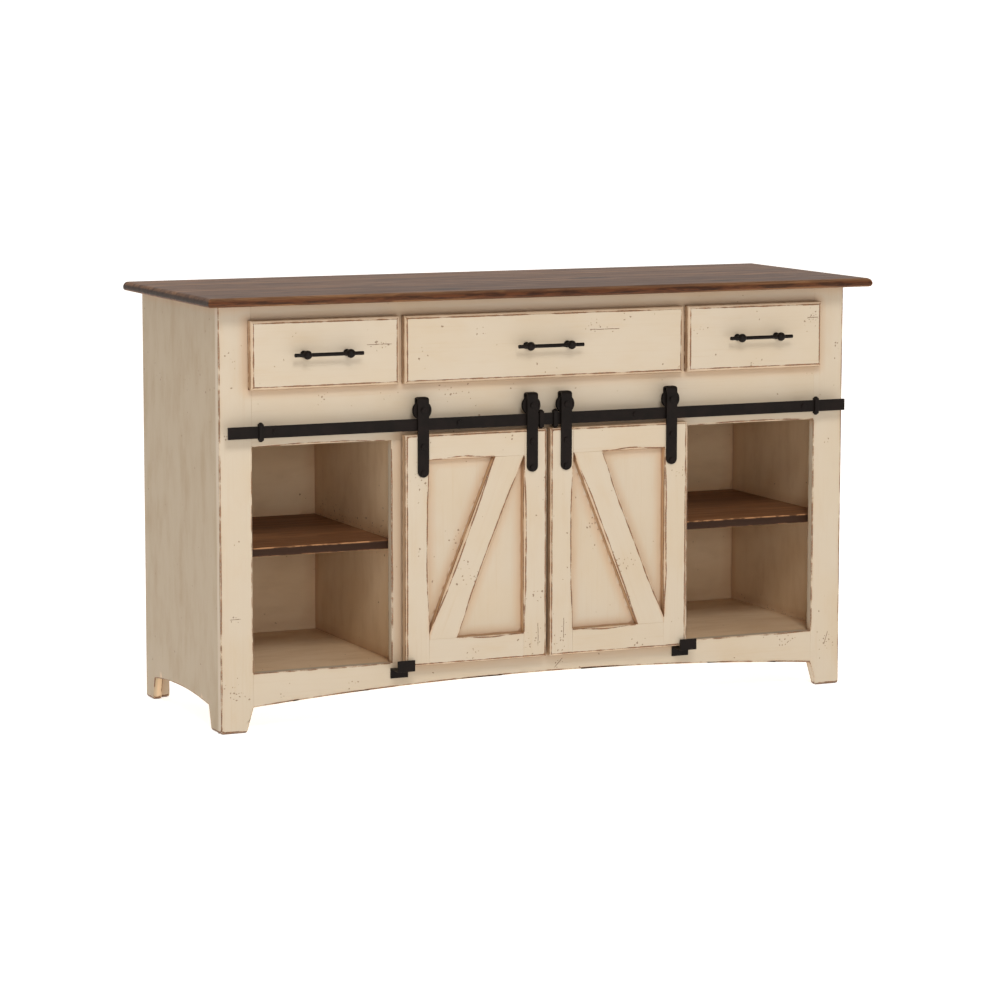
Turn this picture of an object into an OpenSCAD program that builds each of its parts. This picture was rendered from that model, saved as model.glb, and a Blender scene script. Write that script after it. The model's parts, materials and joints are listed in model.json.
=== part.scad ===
// Sideboard buffet: a farmhouse cabinet with three drawers above two open cubbies
// and a pair of braced doors that roll along a flat track.
// Millimetres, +Z up, front towards -Y.
// Origin: centre of the overall box, on the floor.
// Depths named y are measured back from the front plane of the face frame.

/* [Cabinet] */
// height of the carcass under the worktop
carcass_h = 895; // [880:1:930]
// width across the two side panels
carcass_w = 1470; // [1440:1:1520]
// depth from the face frame's front to the back
carcass_d = 481; // [460:1:520]
// thickness of the side panels, partitions and shelves
board_t = 19; // [18:0.5:20]
// thickness of the face frame
frame_t = 19.5; // [19:0.5:22]

/* [Worktop] */
// thickness of the worktop
top_t = 19; // [19:1:24]
// overhang at each side
top_side_over = 41; // [30:1:50]
// overhang in front of the face frame
top_front_over = 58; // [56:1:70]
// overhang behind the carcass
top_back_over = 6; // [0:1:20]
// radius of the upper edge
top_upper_r = 11; // [6:1:11]
// radius of the lower edge
top_lower_r = 7; // [3:1:7]

/* [Face frame] */
// width of the two outer stiles
outer_stile_w = 72; // [66:1:78]
// width of the stiles beside the door opening
inner_stile_w = 38; // [36:1:44]
// width of each cubby opening
cubby_w = 312; // [300:1:324]
// height of the top of the bottom rail
floor_z = 125; // [120:1:130]
// height of the upper edge of the cubby openings
cubby_top_z = 600; // [590:1:604]
// height of the lower edge of the drawer openings
drawer_low_z = 735; // [730:1:738]
// height of the upper edge of the drawer openings
drawer_high_z = 850.5; // [846:0.5:852]

/* [Feet and arches] */
// foot width at the floor, seen from the front
foot_w = 57; // [50:1:62]
// height of the outer ends of the front arch
arch_end_z = 52.5; // [45:0.5:55]
// height of the crown of the front arch
arch_crown_z = 80; // [65:1:90]
// height of the crown of the side arch
side_crown_z = 61.6; // [56:0.1:70]

/* [Shelves] */
// height of the upper face of the shelves
shelf_z = 385; // [330:1:430]
// radius of the shelf pins
pin_r = 3; // [2.5:0.25:3]

/* [Drawers] */
// thickness of the drawer fronts
front_t = 19; // [17:0.5:19]
// how far the outer drawer fronts lap the outer stiles
front_lap = 8; // [4:1:10]
// width of the middle drawer front
middle_front_w = 656; // [640:1:658]
// gap between neighbouring drawer fronts
front_gap = 11; // [10:1:24]
// lower edge of the drawer fronts
front_low_z = 719; // [717:1:728]
// upper edge of the drawer fronts
front_high_z = 863; // [855:0.5:864]
// height of the drawer boxes
box_h = 100; // [90:1:104]
// length of the drawer boxes
box_l = 450; // [430:1:450]

/* [Pulls] */
// radius of the pull's rod
pull_rod_r = 4; // [3.5:0.25:5]
// length of the pull's rod
pull_l = 153; // [140:1:170]
// distance between the pull's two posts
pull_pitch = 96; // [90:1:110]
// distance of the rod from the drawer front
pull_reach = 24; // [22:1:26]

/* [Doors] */
// thickness of the doors
door_t = 20; // [18:1:20]
// gap between the two doors
door_gap = 8; // [6:1:14]
// how far a door laps the stile beside its opening
door_lap = 19; // [12:0.5:19]
// height of the doors' lower edge
door_low_z = 120; // [119:1:124]
// height of the doors' upper edge
door_high_z = 613; // [600:1:614]
// width of the door stiles
door_stile_w = 54; // [50:1:56]
// width of the door rails
door_rail_w = 55; // [48:1:58]

/* [Door hardware] */
// height of the track bar's lower edge
track_z = 621; // [620:1:622]
// height of the track bar
track_h = 25; // [24:1:26]
// half the length of the track bar
track_half = 725; // [716:1:727]
// rolling radius of the wheels
wheel_r = 17.5; // [16:0.5:18]
// width of the hanger straps
strap_w = 25; // [24:1:26]
// height of the straps' lower ends
strap_low_z = 522; // [515:1:530]

/* [Hidden] */

cream = [0.84, 0.77, 0.67];
walnut = [0.30, 0.19, 0.13];
iron = [0.10, 0.10, 0.10];
maple = [0.78, 0.65, 0.48];
steel = [0.62, 0.63, 0.65];

round_fn = 96;
arch_fn = 256;
hex_fn = 6;
cut = 1;

// overall frame
half_w = carcass_w / 2;
inner_half_w = half_w - board_t;
top_d = top_front_over + carcass_d + top_back_over;
face_y = -top_d / 2 + top_front_over;
back_t = 6;
back_y = carcass_d - back_t;

// face frame openings, in x
outer_open_x = half_w - outer_stile_w;
cubby_in_x = outer_open_x - cubby_w;
center_x = cubby_in_x - inner_stile_w;
partition_inset = 6;
partition_x = center_x + partition_inset;
partition_out_x = partition_x + board_t;

// horizontal panels
dust_t = 12;
stretcher_w = 80;
stretcher_z = carcass_h - board_t;

// feet
side_foot_y = 62;
side_foot_top_y = 78;
rear_foot_w = 45;
rear_foot_top_w = 57;
side_arch_end_z = 51;
leg_block_w = 24;

// shelves
shelf_front_y = 26;
shelf_gap = 0.5;
pin_in = 8;
pin_play = 0.05;
pin_front_y = 70;
pin_back_y = 430;
pin_z = shelf_z - board_t - pin_r;

// drawers
front_play = 1;
front_y = -front_play - front_t;
box_t = 12;
slide_space = 13;
box_y = [-front_play, box_l - front_play];
box_low_z = (drawer_low_z + drawer_high_z - box_h) / 2;
slide_z = box_low_z + box_h / 2;
slide_front_y = 22;
slide_l = 420;
cleat_h = 60;
panel_t = 6;
panel_lift = 10;
panel_z = box_low_z + panel_lift;
groove_d = 6;
groove_play = 0.2;
front_ease = 5;
middle_half = middle_front_w / 2;
open_x = [
    [-outer_open_x, -cubby_in_x],
    [-center_x, center_x],
    [cubby_in_x, outer_open_x]
];
face_x = [
    [-outer_open_x - front_lap, -middle_half - front_gap],
    [-middle_half, middle_half],
    [middle_half + front_gap, outer_open_x + front_lap]
];

// slide sections
rail_h = 45;
rail_d = 10;
sheet_t = 1.5;
runner_h = 39;
runner_d = 10;

// pulls
pull_z = (front_low_z + front_high_z) / 2;
pull_y = front_y - pull_reach;
ball_r = 9.5;
ball_l = 17;
post_r = 4.5;
base_r = 7.5;
base_t = 3;

// doors
door_in_x = door_gap / 2;
door_w = center_x + door_lap - door_in_x;
door_y = -33;
door_panel_t = 5;
rebate_w = 8;
open_w = door_w - 2 * door_stile_w;
open_low_z = door_low_z + door_rail_w;
open_high_z = door_high_z - door_rail_w;
open_h = open_high_z - open_low_z;
brace_foot = 64.5;
brace_head = 69.5;
chamfer = 4;
chamfer_stop = 30;

// door hardware
track_t = 5;
track_y = -30;
track_top_z = track_z + track_h;
bar_mid_z = track_z + track_h / 2;
roll_play = 0.3;
wheel_z = track_top_z + wheel_r + roll_play;
wheel_mid_y = track_y + track_t / 2;
wheel_t = 9.5;
groove_w = 6;
flange_h = 3;
axle_r = 3.95;
axle_hole_r = 4;
strap_t = 4;
strap_y = door_y - strap_t;
strap_d = 19.5;
strap_clear = 3.7;
strap_top_z = wheel_z + wheel_r + flange_h + strap_clear + strap_t;
rear_leg_z = 652;
strap_outer_edge = 39.5;
strap_inner_edge = 36;
strap_outer_x = door_in_x + door_w - strap_outer_edge;
strap_inner_x = door_in_x + strap_inner_edge;
head_t = 3;
strap_bolt_z = [531, 587];
strap_bolt_r = 3;
strap_bolt_end = -15;
strap_bolt_head_r = 5.5;
bolt_play = 0.1;
track_bolt_x = [207.5, 622];
track_bolt_r = 3.8;
track_bolt_head_r = 6;
track_head_t = 2.5;
track_screw_end = 15;
spacer_r = 7;
stop_w = 10;
stop_x = [16.5, 653.5];
stop_over = 5;
stop_wrap = 4;
guide_x = 334.5;
guide_w = 40;
guide_t = 3;
guide_low_z = 92;
guide_web_z = 114;
guide_lip_z = 135;
guide_lip_y = -42;

// ---- helpers ----

// a square board between two x, two y and two z values
module board(x, y, z) {
    translate([x[0], face_y + y[0], z[0]])
        cube([x[1] - x[0], y[1] - y[0], z[1] - z[0]]);
}

// a flat drawing in x and z, made t deep from depth y
module front_shape(y, t) {
    translate([0, face_y + y + t, 0])
        rotate([90, 0, 0])
            linear_extrude(t) children();
}

// a flat drawing in y and z, made t wide from x
module side_shape(x, t) {
    translate([x, face_y, 0])
        rotate([90, 0, 90])
            linear_extrude(t) children();
}

// a round bar along y
module y_rod(x, y, z, r, fn = round_fn) {
    translate([x, face_y + y[1], z])
        rotate([90, 0, 0])
            cylinder(h = y[1] - y[0], r = r, $fn = fn);
}

// a round bar along x
module x_rod(x, y, z, r) {
    translate([x[0], face_y + y, z])
        rotate([0, 90, 0])
            cylinder(h = x[1] - x[0], r = r, $fn = round_fn);
}

// the children and their mirror image across the middle of the cabinet
module both_sides() {
    children();
    mirror([1, 0, 0]) children();
}

// what a quarter round of radius r takes off a corner at the origin
module corner_cut(r) {
    difference() {
        translate([-cut, -cut]) square(r + cut);
        translate([r, r]) circle(r, $fn = round_fn);
    }
}

// a large disc whose top is the arch that rises from low, at half either side, to high, with
// the middle of a facet at the crown
module arch_disc(half, low, high) {
    rise = high - low;
    radius = (half * half + rise * rise) / (2 * rise);
    translate([0, high - radius]) rotate(180 / arch_fn) circle(radius, $fn = arch_fn);
}

// ---- carcass ----

module top_edge_profile(span) {
    difference() {
        translate([span[0], carcass_h]) square([span[1] - span[0], top_t]);
        translate([span[0], carcass_h]) corner_cut(top_lower_r);
        translate([span[0], carcass_h + top_t]) mirror([0, 1]) corner_cut(top_upper_r);
    }
}

module top_board() color(walnut) {
    top_half = half_w + top_side_over;
    intersection() {
        side_shape(-top_half, 2 * top_half)
            top_edge_profile([-top_front_over, carcass_d + top_back_over]);
        front_shape(-top_front_over, top_d) {
            intersection() {
                top_edge_profile([-top_half, top_half]);
                mirror([1, 0]) top_edge_profile([-top_half, top_half]);
            }
        }
    }
}

module side_outline() {
    front_toe = side_foot_top_y - side_foot_y;
    rear_y = carcass_d - rear_foot_w;
    rear_top_y = carcass_d - rear_foot_top_w;
    arch_mid = (side_foot_top_y + rear_top_y) / 2;
    arch_half = (rear_top_y - side_foot_top_y) / 2;
    difference() {
        translate([frame_t, 0]) square([carcass_d - frame_t, carcass_h]);
        intersection() {
            translate([arch_mid, 0]) arch_disc(arch_half, side_arch_end_z, side_crown_z);
            polygon([
                [side_foot_y - front_toe, -side_arch_end_z],
                [side_foot_top_y + front_toe, 2 * side_arch_end_z],
                [2 * rear_top_y - rear_y, 2 * side_arch_end_z],
                [2 * rear_y - rear_top_y, -side_arch_end_z]
            ]);
        }
    }
}

module pin_holes(x) {
    for (y = [pin_front_y, pin_back_y])
        x_rod([x - pin_in - pin_play, x + pin_in + pin_play], y, pin_z, pin_r + pin_play);
}

module side_panel() {
    difference() {
        side_shape(inner_half_w, board_t) side_outline();
        pin_holes(inner_half_w);
    }
}

module side_left() color(cream) mirror([1, 0, 0]) side_panel();

module side_right() color(cream) side_panel();

module partition() {
    difference() {
        board([partition_x, partition_out_x], [frame_t, back_y], [floor_z, stretcher_z]);
        pin_holes(partition_x);
        pin_holes(partition_out_x);
    }
}

module partition_left() color(cream) mirror([1, 0, 0]) partition();

module partition_right() color(cream) partition();

module bottom_panel() color(cream)
    board([-inner_half_w, inner_half_w], [frame_t, back_y], [floor_z - board_t, floor_z]);

module back_panel() color(cream)
    board([-inner_half_w, inner_half_w], [back_y, carcass_d], [floor_z - board_t, carcass_h]);

module dust_panels() color(cream) {
    z = [drawer_low_z - dust_t, drawer_low_z];
    both_sides() board([partition_out_x, inner_half_w], [frame_t, back_y], z);
    board([-partition_x, partition_x], [frame_t, back_y], z);
}

module top_stretchers() color(cream) {
    x = [-inner_half_w, inner_half_w];
    board(x, [frame_t, frame_t + stretcher_w], [stretcher_z, carcass_h]);
    board(x, [back_y - stretcher_w, back_y], [stretcher_z, carcass_h]);
}

module rear_leg_blocks() color(cream) {
    both_sides()
        board([inner_half_w - leg_block_w, inner_half_w], [back_y - leg_block_w, back_y],
            [0, floor_z - board_t]);
}

// ---- face frame ----

module outer_stile() {
    front_shape(0, frame_t) polygon([
        [half_w, 0], [half_w, carcass_h], [outer_open_x, carcass_h],
        [outer_open_x, arch_end_z], [half_w - foot_w, 0]
    ]);
}

module stile_left() color(cream) mirror([1, 0, 0]) outer_stile();

module stile_right() color(cream) outer_stile();

module inner_stiles() color(cream) {
    both_sides() {
        board([center_x, cubby_in_x], [0, frame_t], [floor_z, cubby_top_z]);
        board([center_x, cubby_in_x], [0, frame_t], [drawer_low_z, drawer_high_z]);
    }
}

module top_rail() color(cream)
    board([-outer_open_x, outer_open_x], [0, frame_t], [drawer_high_z, carcass_h]);

module track_rail() color(cream) {
    difference() {
        board([-outer_open_x, outer_open_x], [0, frame_t], [cubby_top_z, drawer_low_z]);
        track_holes([-cut, track_screw_end + pin_play], track_bolt_r + pin_play);
    }
}

module bottom_rail() color(cream) {
    front_shape(0, frame_t) {
        difference() {
            translate([-outer_open_x, 0]) square([2 * outer_open_x, floor_z]);
            arch_disc(outer_open_x, arch_end_z, arch_crown_z);
        }
    }
}

// ---- shelves ----

module shelf(x) {
    board([x[0] + shelf_gap, x[1] - shelf_gap], [shelf_front_y, back_y - shelf_gap],
        [shelf_z - board_t, shelf_z]);
}

module cubby_shelves() color(walnut)
    both_sides() shelf([partition_out_x, inner_half_w]);

module center_shelf() color(walnut)
    shelf([-partition_x, partition_x]);

module shelf_pins() color(steel) {
    both_sides() {
        for (y = [pin_front_y, pin_back_y]) {
            x_rod([inner_half_w - pin_in, inner_half_w + pin_in], y, pin_z, pin_r);
            x_rod([partition_x - pin_in, partition_x + pin_in], y, pin_z, pin_r);
            x_rod([partition_out_x - pin_in, partition_out_x + pin_in], y, pin_z, pin_r);
        }
    }
}

// ---- drawer slides ----

module slide_cleats() color(maple) {
    y = [frame_t, slide_front_y + slide_l];
    z = [slide_z - cleat_h / 2, slide_z + cleat_h / 2];
    both_sides() {
        board([outer_open_x, inner_half_w], y, z);
        board([partition_out_x, cubby_in_x], y, z);
        board([center_x, partition_x], y, z);
    }
}

// a channel with its web at x = 0 and its flanges towards +x
module channel(h, d) {
    difference() {
        translate([0, slide_z - h / 2]) square([d, h]);
        translate([sheet_t, slide_z - h / 2 + sheet_t]) square([d, h - 2 * sheet_t]);
    }
}

module slide_rails() color(steel) {
    front_shape(slide_front_y, slide_l) {
        for (x = open_x) {
            translate([x[0], 0]) channel(rail_h, rail_d);
            translate([x[1], 0]) mirror([1, 0]) channel(rail_h, rail_d);
        }
    }
}

// ---- drawers ----

// a board's end view, from a to b along the first axis and t deep, with two eased front edges
module eased_outline(span, t, ease) {
    polygon([
        [span[0] + ease, 0], [span[1] - ease, 0], [span[1], ease],
        [span[1], t], [span[0], t], [span[0], ease]
    ]);
}

module drawer_front(i) color(cream) {
    x = face_x[i];
    z = [front_low_z, front_high_z];
    intersection() {
        front_shape(front_y, front_t)
            translate([x[0], z[0]]) square([x[1] - x[0], z[1] - z[0]]);
        translate([0, face_y + front_y, z[0]]) linear_extrude(z[1] - z[0])
            eased_outline(x, front_t, front_ease);
        side_shape(x[0], x[1] - x[0])
            translate([front_y, 0]) mirror([1, -1]) eased_outline(z, front_t, front_ease);
    }
}

module box_groove(i) {
    x = open_x[i];
    inset = slide_space + box_t - groove_d;
    board([x[0] + inset, x[1] - inset],
        [box_y[0] + box_t - groove_d, box_y[1] - box_t + groove_d],
        [panel_z, panel_z + panel_t + groove_play]);
}

module drawer_sides(i) color(maple) {
    x = [open_x[i][0] + slide_space, open_x[i][1] - slide_space];
    z = [box_low_z, box_low_z + box_h];
    difference() {
        union() {
            board([x[0], x[0] + box_t], box_y, z);
            board([x[1] - box_t, x[1]], box_y, z);
        }
        box_groove(i);
    }
}

module drawer_ends(i) color(maple) {
    x = [open_x[i][0] + slide_space + box_t, open_x[i][1] - slide_space - box_t];
    z = [box_low_z, box_low_z + box_h];
    difference() {
        union() {
            board(x, [box_y[0], box_y[0] + box_t], z);
            board(x, [box_y[1] - box_t, box_y[1]], z);
        }
        box_groove(i);
    }
}

module drawer_bottom(i) color(maple) {
    inset = slide_space + box_t - groove_d + groove_play;
    board([open_x[i][0] + inset, open_x[i][1] - inset],
        [box_y[0] + box_t - groove_d + groove_play, box_y[1] - box_t + groove_d - groove_play],
        [panel_z, panel_z + panel_t]);
}

module drawer_pull(i) color(iron) {
    mid = (open_x[i][0] + open_x[i][1]) / 2;
    x_rod([mid - pull_l / 2, mid + pull_l / 2], pull_y, pull_z, pull_rod_r);
    for (x = [mid - pull_pitch / 2, mid + pull_pitch / 2]) {
        y_rod(x, [pull_y, front_y], pull_z, post_r);
        y_rod(x, [front_y - base_t, front_y], pull_z, base_r);
        intersection() {
            translate([x, face_y + pull_y, pull_z]) sphere(ball_r, $fn = round_fn);
            x_rod([x - ball_l / 2, x + ball_l / 2], pull_y, pull_z, ball_r + cut);
        }
    }
}

module drawer_runners(i) color(steel) {
    front_shape(slide_front_y, slide_l) {
        translate([open_x[i][0] + slide_space, 0]) mirror([1, 0]) channel(runner_h, runner_d);
        translate([open_x[i][1] - slide_space, 0]) channel(runner_h, runner_d);
    }
}

module drawer_left_front() drawer_front(0);
module drawer_left_sides() drawer_sides(0);
module drawer_left_ends() drawer_ends(0);
module drawer_left_bottom() drawer_bottom(0);
module drawer_left_pull() drawer_pull(0);
module drawer_left_runners() drawer_runners(0);

module drawer_middle_front() drawer_front(1);
module drawer_middle_sides() drawer_sides(1);
module drawer_middle_ends() drawer_ends(1);
module drawer_middle_bottom() drawer_bottom(1);
module drawer_middle_pull() drawer_pull(1);
module drawer_middle_runners() drawer_runners(1);

module drawer_right_front() drawer_front(2);
module drawer_right_sides() drawer_sides(2);
module drawer_right_ends() drawer_ends(2);
module drawer_right_bottom() drawer_bottom(2);
module drawer_right_pull() drawer_pull(2);
module drawer_right_runners() drawer_runners(2);

// ---- doors, drawn as the right-hand door ----

// the space inside the door frame, widened by a margin
module door_opening(margin) {
    translate([door_in_x + door_stile_w - margin, open_low_z - margin])
        square([open_w + 2 * margin, open_h + 2 * margin]);
}

// removes the rebate for the panel from the back of the frame
module panel_rebate() {
    front_shape(door_y + door_t - door_panel_t, door_panel_t + cut) door_opening(rebate_w);
}

// a stopped chamfer along z, centred on a front edge
module chamfer_z(x, z) {
    translate([x, face_y + door_y, z[0]])
        rotate([0, 0, 45])
            translate([-chamfer * sqrt(0.5), -chamfer * sqrt(0.5), 0])
                cube([chamfer * sqrt(2), chamfer * sqrt(2), z[1] - z[0]]);
}

// a stopped chamfer along x, centred on a front edge
module chamfer_x(x, z) {
    translate([x[0], face_y + door_y, z])
        rotate([45, 0, 0])
            translate([0, -chamfer * sqrt(0.5), -chamfer * sqrt(0.5)])
                cube([x[1] - x[0], chamfer * sqrt(2), chamfer * sqrt(2)]);
}

module door_stiles() color(cream) {
    z = [door_low_z, door_high_z];
    y = [door_y, door_y + door_t];
    chamfer_span = [open_low_z + chamfer_stop, open_high_z - chamfer_stop];
    inner_edge = door_in_x + door_stile_w;
    outer_edge = inner_edge + open_w;
    difference() {
        union() {
            board([door_in_x, inner_edge], y, z);
            board([outer_edge, door_in_x + door_w], y, z);
        }
        panel_rebate();
        chamfer_z(inner_edge, chamfer_span);
        chamfer_z(outer_edge, chamfer_span);
        strap_bolt_holes([door_y - cut, strap_bolt_end + pin_play], strap_bolt_r + pin_play);
    }
}

module door_rails() color(cream) {
    x = [door_in_x + door_stile_w, door_in_x + door_stile_w + open_w];
    y = [door_y, door_y + door_t];
    chamfer_span = [x[0] + chamfer_stop, x[1] - chamfer_stop];
    difference() {
        union() {
            board(x, y, [door_low_z, open_low_z]);
            board(x, y, [open_high_z, door_high_z]);
        }
        panel_rebate();
        chamfer_x(chamfer_span, open_low_z);
        chamfer_x(chamfer_span, open_high_z);
    }
}

// the brace rises towards the middle of the cabinet
module door_brace() color(cream) {
    outer = door_in_x + door_stile_w + open_w;
    inner = door_in_x + door_stile_w;
    toe = (brace_head - brace_foot) * open_h / (open_w - brace_foot);
    front_shape(door_y, door_t - door_panel_t) polygon([
        [outer, open_low_z], [outer - brace_foot, open_low_z],
        [inner, open_high_z], [inner + brace_head, open_high_z],
        [outer, open_low_z + toe]
    ]);
}

module door_panel() color(cream)
    front_shape(door_y + door_t - door_panel_t, door_panel_t) door_opening(rebate_w - groove_play);

// a strap seen from the side, bent over the wheel
module strap_bend() {
    bend_r = 7;
    difference() {
        translate([strap_y, strap_low_z])
            square([strap_d, strap_top_z - strap_low_z]);
        translate([strap_y + strap_t, strap_low_z - cut])
            square([strap_d - 2 * strap_t, strap_top_z - strap_t - strap_low_z + cut]);
        translate([strap_y + strap_t, strap_low_z - cut])
            square([strap_d, rear_leg_z - strap_low_z + cut]);
        translate([strap_y, strap_top_z]) mirror([0, 1]) corner_cut(bend_r);
        translate([strap_y + strap_d, strap_top_z])
            mirror([0, 1]) mirror([1, 0]) corner_cut(bend_r);
    }
}

// a strap seen from the front, with a round lower end and eased upper corners
module strap_outline(x) {
    corner_r = 5;
    end_r = strap_w / 2;
    translate([x, strap_low_z + end_r]) circle(end_r, $fn = round_fn);
    difference() {
        translate([x - end_r, strap_low_z + end_r])
            square([strap_w, strap_top_z - strap_low_z - end_r]);
        translate([x - end_r, strap_top_z]) mirror([0, 1]) corner_cut(corner_r);
        translate([x + end_r, strap_top_z]) mirror([0, 1]) mirror([1, 0]) corner_cut(corner_r);
    }
}

module door_hangers() color(iron) {
    for (x = [strap_inner_x, strap_outer_x]) {
        difference() {
            intersection() {
                side_shape(x - strap_w / 2, strap_w) strap_bend();
                front_shape(strap_y - cut, strap_d + 2 * cut) strap_outline(x);
            }
            y_rod(x, [strap_y - cut, strap_y + strap_d + cut], wheel_z, axle_hole_r);
            for (z = strap_bolt_z)
                y_rod(x, [strap_y - cut, door_y + cut], z, strap_bolt_r + bolt_play);
        }
    }
}

module strap_bolt_holes(y, r) {
    for (x = [strap_inner_x, strap_outer_x])
        for (z = strap_bolt_z)
            y_rod(x, y, z, r);
}

module door_bolts() color(iron) {
    nut_t = 3.5;
    nut_r = 6;
    for (x = [strap_inner_x, strap_outer_x]) {
        for (z = strap_bolt_z)
            y_rod(x, [strap_y - head_t, strap_y], z, strap_bolt_head_r);
        y_rod(x, [strap_y - head_t, strap_y], wheel_z, nut_r, hex_fn);
        y_rod(x, [strap_y, strap_y + strap_d], wheel_z, axle_r);
        y_rod(x, [strap_y + strap_d, strap_y + strap_d + nut_t], wheel_z, nut_r, hex_fn);
    }
    strap_bolt_holes([strap_y, strap_bolt_end], strap_bolt_r);
}

module door_left_stiles() mirror([1, 0, 0]) door_stiles();
module door_left_rails() mirror([1, 0, 0]) door_rails();
module door_left_brace() mirror([1, 0, 0]) door_brace();
module door_left_panel() mirror([1, 0, 0]) door_panel();
module door_left_hangers() mirror([1, 0, 0]) door_hangers();
module door_left_bolts() mirror([1, 0, 0]) door_bolts();

module door_right_stiles() door_stiles();
module door_right_rails() door_rails();
module door_right_brace() door_brace();
module door_right_panel() door_panel();
module door_right_hangers() door_hangers();
module door_right_bolts() door_bolts();

// a grooved wheel that straddles the track bar
module wheel(x) color(iron) {
    rim_r = wheel_r + flange_h;
    hub_r = 8;
    dish = 1;
    half_t = wheel_t / 2;
    half_g = groove_w / 2;
    translate([x, face_y + wheel_mid_y, wheel_z])
        rotate([90, 0, 0])
            rotate_extrude($fn = round_fn) polygon([
                [axle_hole_r, -half_t], [hub_r, -half_t], [hub_r, -half_t + dish],
                [wheel_r - dish, -half_t + dish], [wheel_r - dish, -half_t],
                [rim_r, -half_t], [rim_r, -half_g], [wheel_r, -half_g],
                [wheel_r, half_g], [rim_r, half_g], [rim_r, half_t],
                [wheel_r - dish, half_t], [wheel_r - dish, half_t - dish],
                [hub_r, half_t - dish], [hub_r, half_t], [axle_hole_r, half_t]
            ]);
}

module wheel_left_outer() wheel(-strap_outer_x);
module wheel_left_inner() wheel(-strap_inner_x);
module wheel_right_inner() wheel(strap_inner_x);
module wheel_right_outer() wheel(strap_outer_x);

// ---- track ----

module track_holes(y, r) {
    both_sides()
        for (x = track_bolt_x)
            y_rod(x, y, bar_mid_z, r);
}

module track_bar() color(iron) {
    difference() {
        board([-track_half, track_half], [track_y, track_y + track_t], [track_z, track_top_z]);
        track_holes([track_y - cut, track_y + track_t + cut], track_bolt_r + bolt_play);
    }
}

module track_spacers() color(iron) {
    difference() {
        track_holes([track_y + track_t, 0], spacer_r);
        track_holes([track_y, cut], track_bolt_r + bolt_play);
    }
}

module track_bolts() color(iron) {
    track_holes([track_y, track_screw_end], track_bolt_r);
    both_sides()
        for (x = track_bolt_x)
            y_rod(x, [track_y - track_head_t, track_y], bar_mid_z, track_bolt_head_r, hex_fn);
}

module track_stops() color(iron) {
    both_sides() {
        for (x = stop_x) {
            difference() {
                board([x - stop_w / 2, x + stop_w / 2],
                    [track_y - stop_wrap, track_y + track_t + stop_wrap],
                    [track_z - stop_over, track_top_z + stop_over]);
                board([x - stop_w, x + stop_w], [track_y, track_y + track_t],
                    [track_z, track_top_z]);
            }
        }
    }
}

// an angled guide: plate on the frame, web under the door, lip in front of it
module door_guides() color(iron) {
    both_sides() {
        side_shape(guide_x - guide_w / 2, guide_w) polygon([
            [0, guide_low_z], [-guide_t, guide_low_z],
            [-guide_t, guide_web_z - guide_t], [guide_lip_y, guide_web_z - guide_t],
            [guide_lip_y, guide_lip_z], [guide_lip_y + guide_t, guide_lip_z],
            [guide_lip_y + guide_t, guide_web_z], [0, guide_web_z]
        ]);
    }
}

top_board();
side_left();
side_right();
partition_left();
partition_right();
bottom_panel();
back_panel();
dust_panels();
top_stretchers();
rear_leg_blocks();
stile_left();
stile_right();
inner_stiles();
top_rail();
track_rail();
bottom_rail();
cubby_shelves();
center_shelf();
shelf_pins();
slide_cleats();
slide_rails();
track_bar();
track_spacers();
track_bolts();
track_stops();
door_guides();
drawer_left_front();
drawer_left_sides();
drawer_left_ends();
drawer_left_bottom();
drawer_left_pull();
drawer_left_runners();
drawer_middle_front();
drawer_middle_sides();
drawer_middle_ends();
drawer_middle_bottom();
drawer_middle_pull();
drawer_middle_runners();
drawer_right_front();
drawer_right_sides();
drawer_right_ends();
drawer_right_bottom();
drawer_right_pull();
drawer_right_runners();
door_left_stiles();
door_left_rails();
door_left_brace();
door_left_panel();
door_left_hangers();
door_left_bolts();
door_right_stiles();
door_right_rails();
door_right_brace();
door_right_panel();
door_right_hangers();
door_right_bolts();
wheel_left_outer();
wheel_left_inner();
wheel_right_inner();
wheel_right_outer();
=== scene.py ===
import json
import math
import random

import bmesh
import bpy
import numpy as np
from mathutils import Matrix, Vector, noise
from mathutils.bvhtree import BVHTree


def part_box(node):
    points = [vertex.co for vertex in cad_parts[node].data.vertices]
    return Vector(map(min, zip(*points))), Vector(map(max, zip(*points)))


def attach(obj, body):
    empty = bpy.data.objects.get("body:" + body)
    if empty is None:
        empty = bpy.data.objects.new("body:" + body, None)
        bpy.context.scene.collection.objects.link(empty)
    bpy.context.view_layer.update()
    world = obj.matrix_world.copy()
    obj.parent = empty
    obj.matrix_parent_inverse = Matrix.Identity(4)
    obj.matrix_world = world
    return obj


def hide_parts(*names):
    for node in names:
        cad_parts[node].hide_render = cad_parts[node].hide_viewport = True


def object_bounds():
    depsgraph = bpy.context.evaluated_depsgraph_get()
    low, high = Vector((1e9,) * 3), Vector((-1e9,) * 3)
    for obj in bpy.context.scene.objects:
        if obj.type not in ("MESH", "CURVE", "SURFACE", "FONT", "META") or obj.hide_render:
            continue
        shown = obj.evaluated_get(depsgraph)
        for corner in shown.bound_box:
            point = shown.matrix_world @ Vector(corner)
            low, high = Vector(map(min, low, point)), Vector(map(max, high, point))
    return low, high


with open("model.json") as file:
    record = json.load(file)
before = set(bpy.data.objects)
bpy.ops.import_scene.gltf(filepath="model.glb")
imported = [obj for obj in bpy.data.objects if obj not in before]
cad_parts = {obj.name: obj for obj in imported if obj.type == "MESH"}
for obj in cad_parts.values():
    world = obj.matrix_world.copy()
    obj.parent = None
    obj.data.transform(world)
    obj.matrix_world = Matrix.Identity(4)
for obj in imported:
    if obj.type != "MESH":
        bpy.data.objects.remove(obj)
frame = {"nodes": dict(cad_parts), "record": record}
cad_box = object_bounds()

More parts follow.
